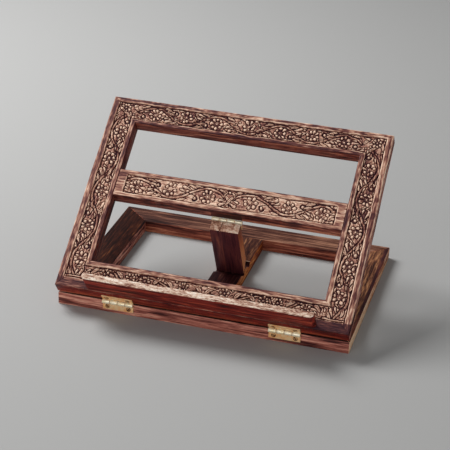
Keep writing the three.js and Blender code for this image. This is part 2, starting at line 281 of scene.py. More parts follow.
def plank_finishes(name, along):
    """The finishes of one rail of the base: its planed top and its sawn sides."""
    lay = ((45, 3.4), (11, 1.2), (5, 0.5)) if along else ((70, 6), (30, 1.2))
    faded = {"shifted_by": "bleached", "sway": 0.9} if name in ("front_rail", "right_rail") else {}
    paler = {"shifted_by": "bleached", "sway": 1.0} if name == "back_rail" else {}
    spread = {"left_rail": 0.19, "centre_rail": 0.17}.get(name, 0.13)
    return [wood_finish(name + "_top_wood", PLANKS[name], along, *lay, roughness=0.62,
                        spread=spread, gloss=0.08, **paler),
            wood_finish(name + "_side_wood", SAWN_SIDES.get(name, SIDE_GRAIN), along, *lay,
                        roughness=0.62, spread=0.1, relief=0.25, **faded)]


def fade(piece, name, shade):
    """Stores how far each point is bleached, from 0 to 1, for a finish to read."""
    bleached = piece.data.attributes.new(name, "FLOAT", "POINT")
    for item, point in zip(bleached.data, piece.data.vertices):
        item.value = shade(point.co)


def dress(piece, finishes, choice):
    """Gives a piece its finishes, and each of its faces the one that the choice counts out."""
    for finish in finishes:
        piece.data.materials.append(finish)
    for face in piece.data.polygons:
        face.material_index = choice(face)


def top_or_side(face):
    return int(abs(face.normal.z) < FACING)


def top_with_streak(face):
    return 2 if face.normal.z > FACING and face.center.x > DARK_STREAK else top_or_side(face)


bleaching = {
    "front_rail": lambda point: 0.45 - 0.1 * point.x / half_wide,
    "back_rail": lambda point: 0.58 + 0.14 * point.x / half_wide,
    "right_rail": lambda point: 0.72 - 0.42 * point.y / half_deep}
halves = (half_wide, half_deep)
for name, across, side in (("front_rail", 1, -1), ("right_rail", 0, 1),
                           ("back_rail", 1, 1), ("left_rail", 0, -1)):
    along = 1 - across
    low = [-half_wide, -half_deep, 0]
    high = [half_wide, half_deep, BASE_HEIGHT]
    low[across], high[across] = sorted((side * halves[across], side * (halves[across] - BASE_RAIL)))
    mitres = []
    for end in (-1, 1):
        start = [0, 0, 0]
        start[across] = side * (halves[across] + HAIRLINE)
        start[along] = end * (halves[along] - HAIRLINE)
        away = [0, 0, 0]
        away[across] = -side
        away[along] = end
        mitres.append((start, away))
    rail = block("base_" + name, low, high)
    saw(rail, mitres)
    finishes = plank_finishes(name, along)
    choice = top_or_side
    if name == "right_rail":
        saw(rail, [((DARK_STREAK, 0, 0), (1, 0.008, 0))], through=False)
        finishes.append(wood_finish(
            "dark_streak_wood", STREAK_TONES, along, (50, 6), (20, 1.2), gloss=0.08))
        choice = top_with_streak
    ease_edges(rail, 0.5 * MM)
    dress(rail, finishes, choice)
    if name in bleaching:
        fade(rail, "bleached", bleaching[name])
    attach(rail, "base")
    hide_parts(name)

# The centre rail of the base: a flat rail from front to back, with two saw-tooth notches
# cut across its top. Each has a leaning stop at the back for the prop's foot, a short
# floor and a long ramp towards the front. Painted shade darkens the front of the top and
# the notches, and a painted highlight makes the free notch's back edge pale.
CENTRE_RAIL = 30.5 * MM
NOTCH_FLOOR = 8.5 * MM
NOTCH_FLOOR_LENGTH = 3 * MM
NOTCH_STOP = math.radians(73.7)
NOTCH_RAMP = math.radians(25)
NOTCH_STOPS = (0.48 * MM, 21.98 * MM)
NOTCH_REACH = 40 * MM
OVERCUT = 1 * MM
# Width of the painted highlight along the free notch's back edge
LIT_EDGE = 1.7 * MM
# Painted shade on the front of the top and in the notches
SHADED_FRONT_TONES = [(0.0, (20, 8, 14)), (0.4, (48, 22, 26)), (0.7, (68, 36, 36)), (1.0, (108, 68, 58))]
# Painted highlight on the free notch's back edge
NOTCH_HIGHLIGHT_TONES = [(0.0, (150, 104, 84)), (0.5, (222, 184, 156)), (1.0, (250, 226, 204))]


def cut_away(piece, cutter):
    """Cuts the shape of the cutter out of a piece, and takes the cutter away."""
    choose(piece)
    cut = piece.modifiers.new("cut", "BOOLEAN")
    cut.object = cutter
    cut.solver = "EXACT"
    bpy.ops.object.modifier_apply(modifier=cut.name)
    bpy.data.objects.remove(cutter)


rail_end = half_deep - BASE_RAIL - HAIRLINE
centre_rail = block("base_centre_rail", (-CENTRE_RAIL / 2, -rail_end, 0),
                    (CENTRE_RAIL / 2, rail_end, BASE_HEIGHT))
cut_height = BASE_HEIGHT - NOTCH_FLOOR + OVERCUT
for stop in NOTCH_STOPS:
    cutter = block("notch_cutter", (-CENTRE_RAIL, stop - NOTCH_FLOOR_LENGTH, NOTCH_FLOOR),
                   (CENTRE_RAIL, stop, NOTCH_FLOOR + cut_height))
    for point in cutter.data.vertices:
        if point.co.z > NOTCH_FLOOR + cut_height / 2:
            at_stop = point.co.y > stop - OVERCUT
            lean = 1 / math.tan(NOTCH_STOP) if at_stop else -1 / math.tan(NOTCH_RAMP)
            point.co.y += cut_height * lean
    cut_away(centre_rail, cutter)
ease_edges(centre_rail, 0.35 * MM, angle=20)
# Where the painted highlight on the free notch's back edge begins
lit_edge_from = NOTCH_STOPS[1] + (BASE_HEIGHT - NOTCH_FLOOR) / math.tan(NOTCH_STOP)
saw(centre_rail, [((0, lit_edge_from + LIT_EDGE, 0), (0, 1, 0.1))], through=False)


def centre_choice(face):
    """Painted shade on the front of the top and in the notches, and a painted highlight on the free
    notch's back edge.
    """
    ahead = face.normal.z > FACING and face.center.y < NOTCH_STOPS[0] - 8 * MM
    in_notch = (abs(face.normal.x) < 0.5 and face.normal.z > -0.5
                and abs(face.center.y) < NOTCH_REACH and face.center.z < BASE_HEIGHT - 0.4 * MM)
    if ahead or in_notch:
        return 2
    if face.normal.z > 0.2 and lit_edge_from - 0.8 * MM < face.center.y < lit_edge_from + LIT_EDGE:
        return 3
    return top_or_side(face)


dress(centre_rail, plank_finishes("centre_rail", 1) + [
    wood_finish("centre_shaded_front_wood", SHADED_FRONT_TONES, 1, (70, 6), (30, 1.2), gloss=0.08),
    wood_finish("notch_highlight_wood", NOTCH_HIGHLIGHT_TONES, 1, (6, 6), (1.2, 1.2), (0.5, 0.5), roughness=0.7),
], centre_choice)
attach(centre_rail, "base")
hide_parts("centre_rail")

# The loose splines in the saw cuts across the mitres of both frames. They are thin
# strips of paler wood, and lie hidden in the joints.
SPLINE_TONES = [(0.0, (120, 84, 56)), (0.5, (168, 128, 88)), (1.0, (198, 160, 116))]
spline_wood = wood_finish(
    "spline_wood", SPLINE_TONES, 0, (60, 4), (30, 0.8), (4, 0.4), roughness=0.7)
for name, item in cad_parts.items():
    if "spline" in name:
        item.data.materials.clear()
        item.data.materials.append(spline_wood)

# The carved boards of the easel frame: four boards mitred at the corners and one middle
# rail. A scrolling stem with daisies, leaves and beads is cut with gouges into a sunk
# ground, worked out on a map of the easel's face in mm, x across it and v up it.
EASEL_TILT = math.radians(37.4)
HINGE_AXIS = (0, -111.6 * MM, 13.0 * MM)
EASEL_FRONT = 2.6
EASEL_UNDER = 0.2
EASEL_TOP = 15.2
EASEL_HALF = 150.0
EASEL_LENGTH = 225.0
STILE = 30.0
TOP_RAIL = 28.5
LOWER_RAIL = 32.0
MID_RAIL = (109.0, 140.0)
RING_OUTSIDE = (-143.8, 143.8, 10.6, 220.6)
RING_INSIDE = (-125, 125, 27, 200.5)
PANEL = (-111, 111, 113.4, 135.6)
CELL = 0.25
GROUND = 0.85
DEEPEST = 2.3
NOISE_TABLE = 97

map_x = np.arange(-EASEL_HALF, EASEL_HALF + CELL / 2, CELL)
map_v = np.arange(0, EASEL_LENGTH + CELL / 2, CELL)
face_x, face_v = np.meshgrid(map_x, map_v)
relief = np.zeros_like(face_x)
vine_band = np.zeros_like(face_x)


def rise(value):
    value = np.clip(value, 0, 1)
    return value * value * (3 - 2 * value)


def bell(value, width):
    return np.exp(-(value / width) ** 2)


def hand_noise(x, v, cell, seed):
    """Smooth unevenness from -1 to 1 that changes over the given length."""
    table = np.random.default_rng(seed).random((NOISE_TABLE, NOISE_TABLE)) * 2 - 1
    grid_x = x / cell + 200.5
    grid_v = v / cell + 200.5
    column = np.floor(grid_x).astype(int)
    row = np.floor(grid_v).astype(int)
    part_x = rise(grid_x - column)
    part_v = rise(grid_v - row)

    def along_row(line):
        line = line % NOISE_TABLE
        return (table[line, column % NOISE_TABLE] * (1 - part_x)
                + table[line, (column + 1) % NOISE_TABLE] * part_x)

    return along_row(row) * (1 - part_v) + along_row(row + 1) * part_v


def face_noise(cell, seed):
    return hand_noise(face_x, face_v, cell, seed)


def inside_box(low_x, high_x, low_v, high_v):
    return np.minimum(np.minimum(face_x - low_x, high_x - face_x),
                      np.minimum(face_v - low_v, high_v - face_v))


# The hand strays a little from the drawing, so every line is cut on a map that is
# pushed about by half a millimetre.
drawn_x = face_x + 0.7 * face_noise(7, 1) + 0.3 * face_noise(2.4, 2)
drawn_v = face_v + 0.7 * face_noise(7, 3) + 0.3 * face_noise(2.4, 4)

ring_in = np.minimum(inside_box(*RING_OUTSIDE), -inside_box(*RING_INSIDE))
in_middle = inside_box(-119.9, 119.9, *MID_RAIL) > 0
sunk = np.where(in_middle, inside_box(*PANEL), ring_in)
sunk = sunk + 0.42 * face_noise(6, 11) + 0.2 * face_noise(2, 12)
ground = np.where(in_middle, GROUND - 0.15, GROUND)
relief -= ground * rise(sunk / 0.7)
relief -= (0.85 + 0.35 * face_noise(14, 15)) * bell(sunk - 0.85, 0.6)
relief -= rise(sunk) * (0.2 * face_noise(2.4, 13) + 0.09 * face_noise(0.9, 14))


def view_of(low_x, high_x, low_v, high_v, margin=3.0):
    """The part of the map that holds a shape and a margin round it."""
    columns = (np.array([low_x - margin, high_x + margin]) + EASEL_HALF) / CELL
    rows = np.array([low_v - margin, high_v + margin]) / CELL
    columns = np.clip(columns.astype(int), 0, map_x.size)
    rows = np.clip(rows.astype(int), 0, map_v.size)
    return slice(rows[0], rows[1]), slice(columns[0], columns[1])


def leave_standing(area, distance, crown, gouge=0.75, width=0.5):
    """Cuts round a shape with a gouge and gives its top the crown's heights."""
    distance = np.maximum(distance, 0.7 - sunk[area])
    outside = np.maximum(distance, 0)
    lowered = np.maximum(relief[area] - gouge * bell(outside, width), -DEEPEST)
    lowered = np.where(sunk[area] > 0.3, lowered, relief[area])
    kept = rise(-distance / 0.35)
    relief[area] = lowered * (1 - kept) + crown * kept


def daisy(x, v, radius, phase=0.0):
    """Petals like long beads round a small boss; no two are quite alike."""
    hand = np.random.default_rng(int(abs(x * 31 + v * 17)) + 7)
    petals = int(hand.integers(7, 9))
    area = view_of(x - radius, x + radius, v - radius, v + radius)
    away_x = drawn_x[area] - x
    away_v = drawn_v[area] - v
    petal_gap = np.full_like(away_x, 9.0)
    crown = np.zeros_like(petal_gap)
    for petal in range(petals):
        turn = phase + 2 * math.pi * petal / petals + hand.normal(0, 0.09)
        width = 0.232 * radius * (1 + hand.normal(0, 0.1))
        start = 0.5 * radius
        end = radius * (1 + hand.normal(0, 0.08)) - width
        along = away_x * math.cos(turn) + away_v * math.sin(turn)
        side = np.abs(away_v * math.cos(turn) - away_x * math.sin(turn))
        part = np.clip((along - start) / (end - start), 0, 1)
        swell = width * (0.46 + 0.54 * rise(part * 1.2))
        gap = np.hypot(along - start - part * (end - start), side)
        closer = gap - swell < petal_gap
        petal_gap = np.where(closer, gap - swell, petal_gap)
        crown = np.where(closer, -0.04 - 0.8 * (gap / swell) ** 2 - 0.8 * (1 - part) ** 1.5, crown)
    leave_standing(area, petal_gap, crown, gouge=1.15, width=0.7)
    reach = np.hypot(away_x, away_v)
    boss = reach - 0.17 * radius
    leave_standing(area, boss, -0.3 - 0.6 * (reach / (0.17 * radius)) ** 2, gouge=0.7, width=0.45)


def bead(x, v, radius, gouge=1.15):
    area = view_of(x - radius, x + radius, v - radius, v + radius)
    reach = np.hypot(drawn_x[area] - x, drawn_v[area] - v)
    leave_standing(area, reach - radius, -0.02 - 0.8 * (reach / radius) ** 2, gouge, 0.7)


PATH_MARGIN = 5
UNREACHED = 9.0


def path_distance(points):
    """Distance from a path, and how far along it the nearest point is, from 0 to 1."""
    points = np.array(points, float)
    low_x, low_v = points.min(axis=0)
    high_x, high_v = points.max(axis=0)
    area = view_of(low_x, high_x, low_v, high_v, PATH_MARGIN)
    distance = np.full(relief[area].shape, UNREACHED)
    along = np.zeros_like(distance)
    lengths = np.hypot(*np.diff(points, axis=0).T)
    run = np.concatenate([[0], np.cumsum(lengths)])
    for index, (start, end) in enumerate(zip(points[:-1], points[1:])):
        (low_x, high_x), (low_v, high_v) = np.sort([start, end], axis=0).T
        spot = view_of(low_x, high_x, low_v, high_v, PATH_MARGIN)
        local = tuple(slice(spot[n].start - area[n].start, spot[n].stop - area[n].start) for n in (0, 1))
        step = end - start
        off_x = drawn_x[spot] - start[0]
        off_v = drawn_v[spot] - start[1]
        part = np.clip((off_x * step[0] + off_v * step[1]) / (step @ step), 0, 1)
        gap = np.hypot(off_x - part * step[0], off_v - part * step[1])
        closer = gap < distance[local]
        distance[local] = np.where(closer, gap, distance[local])
        along[local] = np.where(closer, (run[index] + part * lengths[index]) / run[-1], along[local])
    return area, distance, along, run[-1]


def stem(points, half_width, crown=-0.6, gouge=1.3, width=0.88):
    """A flat band with a gouge cut along each side, the one on its upper left wider."""
    area, distance, along, length = path_distance([(x - 0.6, v + 0.8) for x, v in points])
    wider = 0.55 * bell(distance, half_width + 0.5) * rise(sunk[area] / 0.7)
    relief[area] = np.maximum(relief[area] - wider, -DEEPEST)
    area, distance, along, length = path_distance(points)
    leave_standing(area, distance - half_width, crown - 0.2 * (distance / half_width) ** 2, gouge, width)
    vine_band[area] = np.maximum(vine_band[area], rise((half_width + 0.4 - distance) / 0.4))


def groove(points, half_width, depth=1.3, taper=0.6):
    """A cut of the parting tool that grows narrower towards its end."""
    area, distance, along, length = path_distance(points)
    width = half_width * (1 - taper * along)
    opened = np.clip(1 - distance / width, 0, 1) ** 0.8 * rise(sunk[area] / 0.7)
    relief[area] = np.maximum(relief[area] - depth * opened, -DEEPEST)


def drop(start, end, half_width, bow=0.0):
    """A comma-shaped lobe, thin where it starts and round at its end."""
    area, distance, along, length = path_distance(bent(start, end, bow))
    width = half_width * (0.3 + 0.7 * rise(along * 1.15))
    crown = -0.04 - 0.75 * (distance / width) ** 2 - 0.3 * (1 - along)
    leave_standing(area, distance - width, crown, gouge=1.05, width=0.65)


def leaf(points, half_width):
    area, distance, along, length = path_distance(points)
    width = half_width * np.sin(math.pi * np.clip(along, 0.02, 0.985) ** 0.75) ** 0.9
    crown = -0.15 - 0.3 * (distance / half_width) ** 2
    crown -= 0.8 * bell(distance, 0.34)
    veins = np.cos(2 * math.pi * (along * length - distance * 0.9) / 1.9)
    crown -= 0.3 * rise(veins) * rise(distance / 0.6)
    leave_standing(area, distance - width, crown, gouge=0.85, width=0.6)


def bent(start, end, bow, count=9):
    """A path from start to end that bows to its left by the given height."""
    step = np.linspace(0, 1, count)
    start = np.array(start, float)
    end = np.array(end, float)
    chord = end - start
    left = np.array([-chord[1], chord[0]]) / np.hypot(*chord)
    return start + step[:, None] * chord + (4 * bow * step * (1 - step))[:, None] * left


LAST_PITCH = 36


class Scroll:
    """One run of the scroll: where it starts, which way it runs and its arc's side."""

    def __init__(self, origin, ahead, arch, amplitude):
        self.origin = np.array(origin, float)
        self.ahead = np.array(ahead, float)
        self.arch = np.array(arch, float)
        self.amplitude = amplitude

    def at(self, run, rise_to):
        return self.origin + run * self.ahead + rise_to * self.arch

    def path(self, points):
        return [self.at(run, height) for run, height in points]

    def vine(self, flowers, start, end, half_width=1.15):
        runs = np.arange(start, end + 0.5, 1.0)
        heights = np.zeros_like(runs)
        for index, run in enumerate(runs):
            before = [spot for spot in flowers if spot[0] <= run]
            after = [spot for spot in flowers if spot[0] > run]
            pitch = after[0][0] - before[-1][0] if before and after else LAST_PITCH
            nearest, arch = before[-1] if before else after[0]
            heights[index] = arch * math.cos(math.pi * (run - nearest) / pitch)
        heights = np.sign(heights) * np.abs(heights) ** 0.85
        stem(self.path(zip(runs, heights * self.amplitude)), half_width)

    def unit(self, run, side, radius, size=1.0, full=True):
        """A daisy in the bay of the stem, with the leaves, curls and lobes round it."""
        shake = np.random.default_rng(int(abs(run) * 7 + self.origin[0] + 500)).normal(0, 0.4, (20, 2))

        def spot(a, b, turn=0):
            return self.at(run + (a + shake[turn][0]) * size, side * (b + shake[turn][1]) * size)

        def blade(start, end, half_width, bow, turn):
            leaf([spot(a, b, turn) for a, b in bent(start, end, bow)], half_width * size)

        def lobe(start, end, half_width, turn):
            drop(spot(*start, turn), spot(*end, turn), half_width * size)

        blade((-26.0, -6.0), (-16.2, -9.4), 1.5, -0.8, 1)
        lobe((-20.4, -4.6), (-13.6, -7.4), 1.7, 2)
        lobe((-17.5, -1.2), (-12.0, -3.2), 1.2, 3)
        blade((9.5, 9.6), (19.0, 6.6), 1.3, 0.6, 4)
        blade((-9.0, 9.4), (-19.5, 6.2), 1.3, -0.7, 5)
        lobe((21.6, 9.0), (26.2, 7.0), 1.3, 6)
        if full:
            blade((-20.5, 2.2), (-9.0, 3.6), 1.3, 1.3, 7)
            lobe((-11.4, 0.0), (-8.4, -4.0), 0.9, 8)
            lobe((-13.0, -9.6), (-8.6, -8.2), 0.9, 9)
            lobe((8.2, 2.8), (13.0, 1.9), 0.9, 10)
            lobe((4.2, -8.8), (9.0, -8.4), 1.0, 11)
            lobe((18.4, -8.8), (22.4, -7.4), 1.0, 13)
            lobe((20.6, -4.8), (16.6, -6.6), 0.9, 14)
        curl = [(21.5, 1.2), (18.6, -0.2), (15.6, -1.0), (12.8, -1.6), (10.7, -3.2),
                (10.5, -5.6), (12.2, -7.4), (14.6, -7.2), (15.9, -5.4)]
        groove([spot(a, b, 12) for a, b in reversed(curl)], 0.95 * size, 1.5, 0.45)
        bead(*spot(13.2, -4.5, 12), 1.55 * size, 1.3)
        daisy(*spot(0, -1.5), radius, phase=0.2 + 0.37 * run)


def twin_leaf(side, start, end, bow, half_width):
    """A leaf laid out for the right-hand side, and mirrored where the side is -1."""
    leaf(bent((side * start[0], start[1]), (side * end[0], end[1]), side * bow), half_width)


# Both stiles, with a short bar across the front end of their carving
STILE_DAISIES = {
    -1: [(33, 1), (71, -1), (111, 1), (150, -1), (184, 1)],
    1: [(37, 1), (71, -1), (109, 1), (147, -1), (182, 1)]}
for side, daisies in STILE_DAISIES.items():
    scroll = Scroll((side * 134.6, 0), (0, 1), (side, 0), 7.4)
    scroll.vine(daisies, 15, 205)
    for run, arch in daisies:
        scroll.unit(run, arch, 7.2)
    stem([(side * 143, 12.6), (side * 121, 12.6)], 0.9, -0.15)
    twin_leaf(side, (128, 203), (137, 208.5), 0.8, 1.6)
    twin_leaf(side, (142.5, 206), (140.5, 216.5), 0.8, 1.4)
    twin_leaf(side, (120.5, 211), (129, 217.5), 0.8, 1.5)
    daisy(side * 135.0, 213.6, 5.3, phase=0.4)
    for run, height in ((142.2, 218.0), (129.0, 208.6), (141.8, 203.4), (124.5, 206.0)):
        bead(side * run, height, 1.0)

# The top rail, the same both ways from the daisy in its middle
TOP_DAISIES = [(0, -1), (33.5, 1), (67, -1), (101, 1)]
for side in (-1, 1):
    scroll = Scroll((0, 210.2), (side, 0), (0, 1), 7.2)
    scroll.vine(TOP_DAISIES, 0, 119, 1.0)
    for run, arch in TOP_DAISIES[1:]:
        scroll.unit(run, arch, 6.9, 0.94)
for side in (-1, 1):
    twin_leaf(side, (16, 209.5), (8.2, 206.2), -1.0, 1.5)
    bead(side * 10.5, 214.6, 1.2)
    bead(side * 13.6, 212.0, 0.9)
    twin_leaf(side, (11.5, 203.2), (18.0, 205.6), -0.6, 1.1)
    drop((side * 10, 218.4), (side * 5.5, 218.2), 1.0)
daisy(0, 211.2, 7.0, phase=0.39)

# The middle rail: three daisies each way, and two crossed leaves in the middle
MIDDLE_DAISIES = [(21.7, 1), (62.5, -1), (97, 1)]
for side in (-1, 1):
    scroll = Scroll((0, 124.4), (side, 0), (0, 1), 8.0)
    scroll.vine(MIDDLE_DAISIES, 5, 110)
    for run, arch in MIDDLE_DAISIES:
        scroll.unit(run, arch, 7.5, full=run > 90)
    twin_leaf(side, (-2.5, 115.5), (7.5, 131.5), 1.2, 1.5)
    twin_leaf(side, (1.5, 133.0), (6.5, 124.5), 0.6, 1.0)
    for height in (116.4, 119.6, 125.2, 129.0):
        drop((side * 105.6, height - 0.6), (side * 109.0, height + 0.4), 1.15)
bead(0, 131.8, 1.3)
bead(0, 116.6, 1.0)

# The lower rail, a narrower run that shows above the lip
for side in (-1, 1):
    scroll = Scroll((0, 19.2), (side, 0), (0, 1), 5.4)
    scroll.vine([(21, -1), (61, 1), (76, -1), (103, 1)], 4, 117, 0.9)
    twin_leaf(side, (1.5, 17), (11.5, 24.2), 1.2, 1.9)
    twin_leaf(side, (2.5, 25.2), (14.0, 25.0), -0.8, 1.1)
    twin_leaf(side, (31, 17), (40.5, 24.6), 1.4, 2.0)
    twin_leaf(side, (52, 17), (43, 24.6), -1.4, 2.0)
    twin_leaf(side, (84, 18), (92.5, 24.4), 1.4, 1.9)
    twin_leaf(side, (110, 24.8), (117.5, 18.2), 1.0, 1.8)
    for run, height in ((21, 20.8), (61, 20.4), (75.5, 20.8), (103, 20.2)):
        daisy(side * run, height, 5.2, phase=0.1 * run)
    for run, height in ((28.5, 25.2), (68.3, 24.8), (68.3, 16.8), (95.3, 23.4), (110.5, 17.0),
                        (47.5, 25.2)):
        bead(side * run, height, 1.1)

# Small lobes and short cuts of the gouge fill the ground that is still free on the
# outer boards.
FILLING_TRIES = 5200
CARVED_FROM = (-143, 12)
CARVED_TO = (143, 219)
LEVEL_ENOUGH = 0.75
LOW_ENOUGH = -0.6
hand = np.random.default_rng(71)
for turn in range(FILLING_TRIES):
    place_x, place_v = hand.uniform(CARVED_FROM, CARVED_TO)
    heading = hand.uniform(0, 2 * math.pi)
    lobe = turn < FILLING_TRIES / 2
    length = hand.uniform(3.0, 4.6) if lobe else hand.uniform(1.6, 3.0)
    near = 7 if lobe else 3
    row, column = int(place_v / CELL), int((place_x + EASEL_HALF) / CELL)
    around = relief[row - near:row + near + 1, column - near:column + near + 1]
    free = around.size and np.ptp(around) < LEVEL_ENOUGH and around.mean() < LOW_ENOUGH
    if free and not in_middle[row, column]:
        reach = np.array([math.cos(heading), math.sin(heading)]) * length / 2
        start = np.array([place_x, place_v]) - reach
        end = start + 2 * reach
        if lobe:
            drop(start, end, hand.uniform(0.9, 1.25), bow=hand.uniform(-0.5, 0.5))
        else:
            groove([start, end], 0.65, 0.9)

# Slips and short strokes of the tool run over the finished carving.
SLIPS = 1100
hand = np.random.default_rng(83)
for turn in range(SLIPS):
    start = hand.uniform(CARVED_FROM, CARVED_TO)
    heading = hand.uniform(0, 2 * math.pi)
    reach = np.array([math.cos(heading), math.sin(heading)]) * hand.uniform(1.5, 4.0)
    row, column = int(start[1] / CELL), int((start[0] + EASEL_HALF) / CELL)
    if sunk[row, column] > 1:
        groove([start, start + reach], hand.uniform(0.35, 0.6), hand.uniform(0.3, 0.7))

# Hairline mitres, worn edges and the slight unevenness of hand work
inner_half = EASEL_HALF - STILE
top_border = 219
span = EASEL_HALF - np.abs(face_x)
from_top = EASEL_LENGTH - face_v
mitre_run = np.minimum(np.abs(span * LOWER_RAIL - face_v * STILE) / math.hypot(LOWER_RAIL, STILE),
                       np.abs(span * TOP_RAIL - from_top * STILE) / math.hypot(TOP_RAIL, STILE))
relief -= 0.22 * bell(mitre_run, 0.3) * (sunk < 0.5) * (span < STILE)
upright = (span < STILE) & (span / STILE < np.minimum(face_v / LOWER_RAIL, from_top / TOP_RAIL))
lengthwise = np.where(upright, face_v, face_x)
crosswise = np.where(upright, face_x, face_v)
outer_edge = inside_box(-EASEL_HALF, EASEL_HALF, 0, EASEL_LENGTH)
opening_edge = np.where(
    in_middle, np.minimum(face_v - MID_RAIL[0], MID_RAIL[1] - face_v),
    np.maximum(-inside_box(-inner_half, inner_half, LOWER_RAIL, EASEL_LENGTH - TOP_RAIL), 0))
chipped = 0.9 + 0.5 * face_noise(5, 22)
relief -= 0.55 * rise(1 - np.minimum(outer_edge, opening_edge) / chipped)
border = sunk < 0
scraped = hand_noise(0.2 * lengthwise + 0.35 * crosswise, crosswise, 1.5, 33)
relief += (0.07 * face_noise(9, 21) + 0.06 * scraped) * border
relief += 0.13 * face_noise(2.6, 23) * border * rise((face_v - top_border) / 1.5)
relief -= ~border * 0.26 * np.abs(face_noise(1.4, 24))


def blurred(values, reach):
    """Spreads each value over its neighbours, across the map and then up it."""
    last = int(3 * reach / CELL)
    steps = np.arange(-last, last + 1)
    weights = np.exp(-(steps * CELL / reach) ** 2 / 2)
    weights /= weights.sum()
    for turn in range(2):
        padded = np.pad(values, ((last, last), (0, 0)), mode="edge")
        total = np.zeros_like(values)
        for step, weight in zip(steps, weights):
            total += weight * padded[last + step:last + step + values.shape[0]]
        values = total.T
    return values


# Dark wax has stayed in the cuts, and painted shade darkens the deep cuts further.
# Handling has worn the high parts and the borders pale in streaks, and the tops of the
# domes carry a painted highlight. The edges of the openings and the right front corner
# are dark, the middle rail is worn palest, and dark patches are left on the right stile.
BY_STILE = 118
proud = relief + GROUND
dome = np.clip(relief - blurred(relief, 0.9), 0, 0.6)
wear_and_shading = np.where(border, 0.39, 0.45 + 0.1 * np.clip(proud, 0, 1))
dome *= 1 - 0.6 * vine_band
# The tops of the domes grow paler: worn by handling, and also a painted highlight.
wear_and_shading += (0.3 + 0.3 * face_noise(3.4, 35)) * dome + 1.1 * dome ** 2
# The deep cuts grow darker: dark wax, and also painted shade.
wear_and_shading -= 0.45 * rise((-proud - 0.08) / 0.8)
wear_and_shading += 0.07 * face_noise(13, 31) + 0.07 * face_noise(4, 32)
wear_and_shading += ~border * (0.13 * face_noise(1.8, 39) + 0.07 * face_noise(0.9, 40))
wear_and_shading += border * (0.05 * face_noise(22, 30) + 0.14 * scraped)
wear_and_shading += border * (0.15 + 0.16 * (face_x > BY_STILE) * (face_x < 126)) * hand_noise(
    lengthwise / 7, crosswise, 1.05, 34)
wear_and_shading += border * (0.09 * rise((face_x - BY_STILE) / 3) - 0.04 * rise((-face_x - BY_STILE) / 3))
wear_and_shading += 0.05 * (face_v < 33) * (np.abs(face_x) < inner_half)
wear_and_shading -= 0.04 * border * rise((face_v - 217) / 3)
wear_and_shading += np.where(in_middle, np.where(border, 0.1, 0.05), 0)
wear_and_shading += 0.17 * in_middle * rise(face_noise(9, 36) * 2) * (np.abs(proud) < 0.35)
# A painted highlight along the lower edge of the middle rail's carving, where its wall faces the light.
wear_and_shading += 0.28 * in_middle * rise(1.6 * face_noise(11, 43)) * bell(face_v - 115.9, 1.3)
wear_and_shading -= 0.3 * bell(opening_edge, 0.8)
wear_and_shading += (0.2 + 0.15 * (face_x > 140)) * bell(outer_edge, 0.8) * (face_v > 12)
wear_and_shading -= 0.14 * bell(outer_edge - 1.9, 0.7) * (face_x > 140)
wear_and_shading -= 0.13 * rise((face_v - 190) / 8) * rise((201 - face_v) / 1.5) * border
wear_and_shading -= np.where(border & (face_v < RING_OUTSIDE[2]), 0.08 + 0.34 * rise((face_x - 90) / 30), 0)
dark_spots = rise((hand_noise(face_x, face_v / 1.8, 5, 37) - 0.3) / 0.3)
on_right = rise((face_x - BY_STILE) / 3) * rise((face_v - 90) / 12) * rise((205 - face_v) / 12)
wear_and_shading -= (0.05 + 0.2 * on_right) * dark_spots * ~in_middle
wear_and_shading -= 0.03 * rise((face_v - 199) / 3)
wear_and_shading += 0.1 * face_noise(2.6, 38) * border * rise((face_v - top_border) / 1.5)


def from_map(values, x, v):
    """Reads a map between its points."""
    column = np.clip((x + EASEL_HALF) / CELL, 0, map_x.size - 1.001)
    row = np.clip(v / CELL, 0, map_v.size - 1.001)
    left = np.floor(column).astype(int)
    low = np.floor(row).astype(int)
    part_x = column - left
    part_v = row - low
    return ((values[low, left] * (1 - part_x) + values[low, left + 1] * part_x) * (1 - part_v)
            + (values[low + 1, left] * (1 - part_x) + values[low + 1, left + 1] * part_x) * part_v)


def put(piece, origin, turn):
    """Turns a piece about its own origin, and sets that down where it belongs."""
    piece.rotation_euler = turn
    piece.location = origin
    set_in_place(piece)


FACE_TONES = [(0.0, (58, 28, 36)), (0.26, (98, 54, 50)), (0.44, (148, 100, 86)),
              (0.60, (190, 142, 119)), (0.85, (240, 205, 180))]
EDGE_TONES = [(0.0, (58, 26, 24)), (0.35, (112, 53, 45)), (0.7, (154, 84, 67)), (1.0, (204, 130, 100))]
# Brighter tones for the middle rail's sides, which carry painted light towards the right
MIDDLE_EDGE_TONES = [
    (0.0, (58, 26, 24)), (0.35, (112, 53, 45)), (0.7, (162, 88, 71)), (1.0, (240, 154, 120))]
# Darker tones for the left stile's sides, as painted shade
SHADED_EDGE_TONES = [
    (0.0, (40, 16, 18)), (0.35, (84, 36, 34)), (0.7, (120, 58, 50)), (1.0, (166, 96, 78))]
UNDER_TONES = [(0.0, (58, 32, 26)), (0.35, (96, 58, 46)), (0.7, (126, 80, 62)), (1.0, (160, 112, 86))]
FRONT_TONES = [(0.0, (46, 13, 15)), (0.35, (106, 33, 28)), (0.7, (150, 51, 40)), (1.0, (200, 92, 62))]
OUTER_TONES = [(0.0, (38, 8, 16)), (0.35, (122, 58, 50)), (0.65, (186, 106, 92)), (1.0, (246, 178, 156))]
EDGE_GRAIN = ((50, 4), (18, 1.1))
FRONT_GRAIN = ((60, 5), (22, 1.1))

